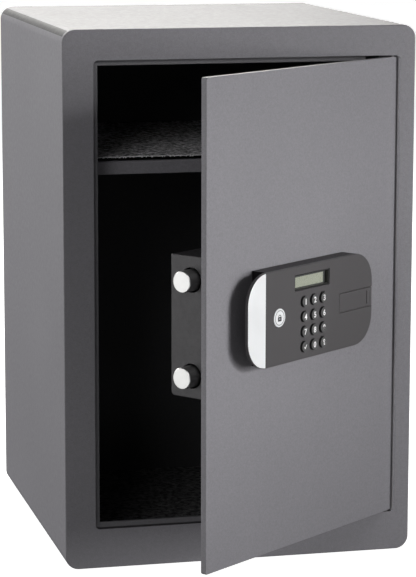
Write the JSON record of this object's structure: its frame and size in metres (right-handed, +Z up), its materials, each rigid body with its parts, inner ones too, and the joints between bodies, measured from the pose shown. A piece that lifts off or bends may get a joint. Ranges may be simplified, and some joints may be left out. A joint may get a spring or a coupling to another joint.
{
  "type": "in room safe",
  "caption": "Upright steel in-room safe with a hinged keypad door, motor-driven round bolts, key override and a carpeted shelf.",
  "frame": {"origin": "centre of the cabinet's underside", "axes": "+Z up, +Y from the door to the rear panel, the door's hinge on the +X side; the door is open by 38.1 degrees at rest"},
  "size_m": [0.346, 0.5393, 0.52],
  "materials": {
    "grey_powder_coat": "fine textured powder coat, matt",
    "dark_powder_coat": "textured powder coat, matt",
    "charcoal_plastic": "satin moulded",
    "black_plastic": "satin moulded",
    "silver_trim": "bright satin chrome",
    "white_plastic": "gloss",
    "display_green": "reflective display",
    "clear_window": "clear",
    "key_rubber": "satin",
    "board_green": "lacquered",
    "zinc_steel": "zinc plated",
    "bolt_chrome": "polished",
    "brass": "machined",
    "black_carpet": "needled carpet",
    "battery_wrap": "printed sleeve, plain",
    "red_plastic": "moulded"
  },
  "bodies": {
    "cabinet": {"body_wrapper": "grey_powder_coat", "rear_panel": "grey_powder_coat", "front_frame": "grey_powder_coat", "door_stop_frame": "grey_powder_coat", "hinge_bracket_upper": "grey_powder_coat", "hinge_bracket_lower": "grey_powder_coat", "hinge_pin_upper": "zinc_steel", "hinge_pin_lower": "zinc_steel", "strike_channel": "dark_powder_coat", "shelf": "grey_powder_coat", "shelf_mat": "black_carpet", "shelf_bracket_left": "dark_powder_coat", "shelf_bracket_right": "dark_powder_coat", "floor_mat": "black_carpet"},
    "door": {"door_plate": "grey_powder_coat", "lock_case": "dark_powder_coat", "bolt_guide": "zinc_steel", "motor_can": "zinc_steel", "bearing_plate": "zinc_steel", "keypad_housing": "charcoal_plastic", "trim_strip": "silver_trim", "badge": "white_plastic", "display_bezel": "black_plastic", "keypad_membrane": "black_plastic", "keypad_backplate": "black_plastic", "gearbox_housing": "black_plastic", "battery_holder": "black_plastic", "wire_harness": "black_plastic", "display_window": "clear_window", "display_module": "display_green", "circuit_board": "board_green", "lock_board": "board_green", "lock_cylinder": "bolt_chrome", "battery_1": "battery_wrap", "battery_2": "battery_wrap", "battery_3": "battery_wrap", "battery_4": "battery_wrap"},
    "bolt_carriage": {"bolt_bar": "zinc_steel", "bolt_upper": "bolt_chrome", "bolt_lower": "bolt_chrome", "drive_rack": "zinc_steel"},
    "drive_pinion": {"drive_pinion": "brass", "pinion_shaft": "zinc_steel"},
    "key_plug": {"key_plug": "brass", "override_gear": "brass"},
    "override_cover": {"override_cover": "charcoal_plastic"},
    "battery_door": {"battery_door": "dark_powder_coat"},
    "reset_button": {"reset_button": "red_plastic"},
    "key_1": {"key_1": "key_rubber"},
    "key_2": {"key_2": "key_rubber"},
    "key_3": {"key_3": "key_rubber"},
    "key_4": {"key_4": "key_rubber"},
    "key_5": {"key_5": "key_rubber"},
    "key_6": {"key_6": "key_rubber"},
    "key_7": {"key_7": "key_rubber"},
    "key_8": {"key_8": "key_rubber"},
    "key_9": {"key_9": "key_rubber"},
    "key_confirm": {"key_confirm": "key_rubber"},
    "key_0": {"key_0": "key_rubber"},
    "key_lock": {"key_lock": "key_rubber"}
  },
  "joints": [
    {"name": "door_hinge", "type": "hinge", "parent": "cabinet", "child": "door", "pos_m": [0.15, -0.177, 0.26], "axis": [0, 0, 1], "range_deg": [-38.1, 56.9]},
    {"name": "bolt_throw", "type": "slide", "parent": "door", "child": "bolt_carriage", "axis": [-0.7869, -0.617, 0], "range_m": [0, 0.022]},
    {"name": "pinion_turn", "type": "hinge", "parent": "door", "child": "drive_pinion", "pos_m": [0.02967, -0.22612, 0.266], "axis": [-0.617, 0.7869, 0], "range_deg": [0, 141]},
    {"name": "key_plug_turn", "type": "hinge", "parent": "door", "child": "key_plug", "pos_m": [0.049, -0.20702, 0.266], "axis": [-0.617, 0.7869, 0], "range_deg": [-71, 0]},
    {"name": "override_cover_slide", "type": "slide", "parent": "door", "child": "override_cover", "axis": [0.7869, 0.617, 0], "range_m": [0, 0.028]},
    {"name": "battery_door_slide", "type": "slide", "parent": "door", "child": "battery_door", "axis": [0.7869, 0.617, 0], "range_m": [0, 0.054]},
    {"name": "reset_press", "type": "slide", "parent": "door", "child": "reset_button", "axis": [0.617, -0.7869, 0], "range_m": [0, 0.0012], "stiffness_N_per_m": 600},
    {"name": "key_1_press", "type": "slide", "parent": "door", "child": "key_1", "axis": [-0.617, 0.7869, 0], "range_m": [0, 0.0012], "stiffness_N_per_m": 600},
    {"name": "key_2_press", "type": "slide", "parent": "door", "child": "key_2", "axis": [-0.617, 0.7869, 0], "range_m": [0, 0.0012], "stiffness_N_per_m": 600},
    {"name": "key_3_press", "type": "slide", "parent": "door", "child": "key_3", "axis": [-0.617, 0.7869, 0], "range_m": [0, 0.0012], "stiffness_N_per_m": 600},
    {"name": "key_4_press", "type": "slide", "parent": "door", "child": "key_4", "axis": [-0.617, 0.7869, 0], "range_m": [0, 0.0012], "stiffness_N_per_m": 600},
    {"name": "key_5_press", "type": "slide", "parent": "door", "child": "key_5", "axis": [-0.617, 0.7869, 0], "range_m": [0, 0.0012], "stiffness_N_per_m": 600},
    {"name": "key_6_press", "type": "slide", "parent": "door", "child": "key_6", "axis": [-0.617, 0.7869, 0], "range_m": [0, 0.0012], "stiffness_N_per_m": 600},
    {"name": "key_7_press", "type": "slide", "parent": "door", "child": "key_7", "axis": [-0.617, 0.7869, 0], "range_m": [0, 0.0012], "stiffness_N_per_m": 600},
    {"name": "key_8_press", "type": "slide", "parent": "door", "child": "key_8", "axis": [-0.617, 0.7869, 0], "range_m": [0, 0.0012], "stiffness_N_per_m": 600},
    {"name": "key_9_press", "type": "slide", "parent": "door", "child": "key_9", "axis": [-0.617, 0.7869, 0], "range_m": [0, 0.0012], "stiffness_N_per_m": 600},
    {"name": "key_confirm_press", "type": "slide", "parent": "door", "child": "key_confirm", "axis": [-0.617, 0.7869, 0], "range_m": [0, 0.0012], "stiffness_N_per_m": 600},
    {"name": "key_0_press", "type": "slide", "parent": "door", "child": "key_0", "axis": [-0.617, 0.7869, 0], "range_m": [0, 0.0012], "stiffness_N_per_m": 600},
    {"name": "key_lock_press", "type": "slide", "parent": "door", "child": "key_lock", "axis": [-0.617, 0.7869, 0], "range_m": [0, 0.0012], "stiffness_N_per_m": 600}
  ],
  "couplings": [
    {"joint": "pinion_turn", "follows": "bolt_throw", "rad_per_m": 111.11},
    {"joint": "key_plug_turn", "follows": "bolt_throw", "rad_per_m": -55.556}
  ]
}
